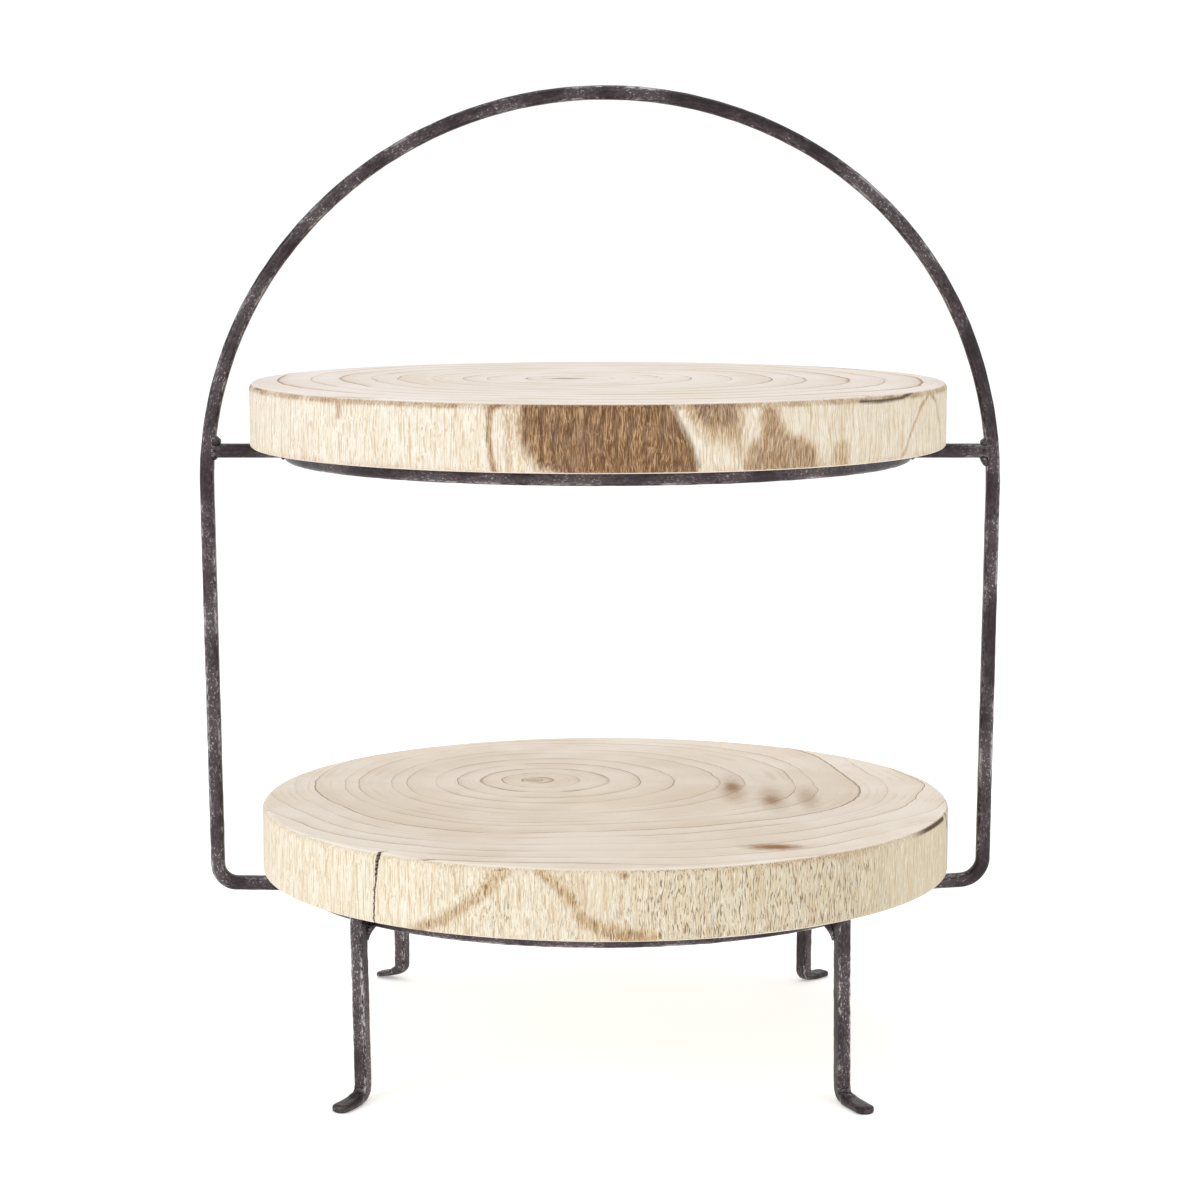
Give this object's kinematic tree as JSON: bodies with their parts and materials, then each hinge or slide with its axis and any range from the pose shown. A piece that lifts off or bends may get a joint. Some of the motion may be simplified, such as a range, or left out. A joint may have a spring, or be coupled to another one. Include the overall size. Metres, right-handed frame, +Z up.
{
  "type": "tiered cake stand",
  "caption": "Two-tier cake stand: round cross-cut wooden boards held in a welded frame of dark forged bar with an arched carrying handle.",
  "frame": {"origin": "on the floor under the middle of the stand, halfway between the uprights", "axes": "+Z up; +X towards the right upright, so the arch handle lies in the XZ plane; +Y to the back"},
  "size_m": [0.3527, 0.305, 0.424],
  "materials": {
    "upper_board_wood": "sanded bare pale wood with darker heartwood",
    "lower_board_wood": "sanded bare pale wood with growth rings",
    "plug_wood": "sanded dowel end grain",
    "forged_iron": "hand hammered, dark waxed, rubbed grey on the edges",
    "weld_bead": "rippled weld, dark waxed",
    "zinc_screws": "dull zinc plate"
  },
  "bodies": {
    "root": {"arm_to_hoop_weld_left": "weld_bead", "arm_to_hoop_weld_right": "weld_bead", "arm_to_ring_weld_left": "weld_bead", "arm_to_ring_weld_right": "weld_bead", "back_left_leg": "forged_iron", "back_left_leg_weld": "weld_bead", "back_right_leg": "forged_iron", "back_right_leg_weld": "weld_bead", "front_left_leg": "forged_iron", "front_left_leg_weld": "weld_bead", "front_right_leg": "forged_iron", "front_right_leg_weld": "weld_bead", "handle_hoop": "forged_iron", "hoop_seam_weld": "weld_bead", "lower_board": "lower_board_wood", "lower_board_screws": "zinc_screws", "lower_ring": "forged_iron", "lower_ring_seam_weld": "weld_bead", "lower_tab_back_left": "forged_iron", "lower_tab_back_right": "forged_iron", "lower_tab_front_left": "forged_iron", "lower_tab_front_right": "forged_iron", "lower_tab_welds": "weld_bead", "pith_plug": "plug_wood", "run_weld_left_inner": "weld_bead", "run_weld_left_outer": "weld_bead", "run_weld_right_inner": "weld_bead", "run_weld_right_outer": "weld_bead", "upper_arm_left": "forged_iron", "upper_arm_right": "forged_iron", "upper_board": "upper_board_wood", "upper_board_screws": "zinc_screws", "upper_ring": "forged_iron", "upper_ring_seam_weld": "weld_bead", "upper_tab_back_left": "forged_iron", "upper_tab_back_right": "forged_iron", "upper_tab_front_left": "forged_iron", "upper_tab_front_right": "forged_iron", "upper_tab_welds": "weld_bead"}
  },
  "joints": []
}
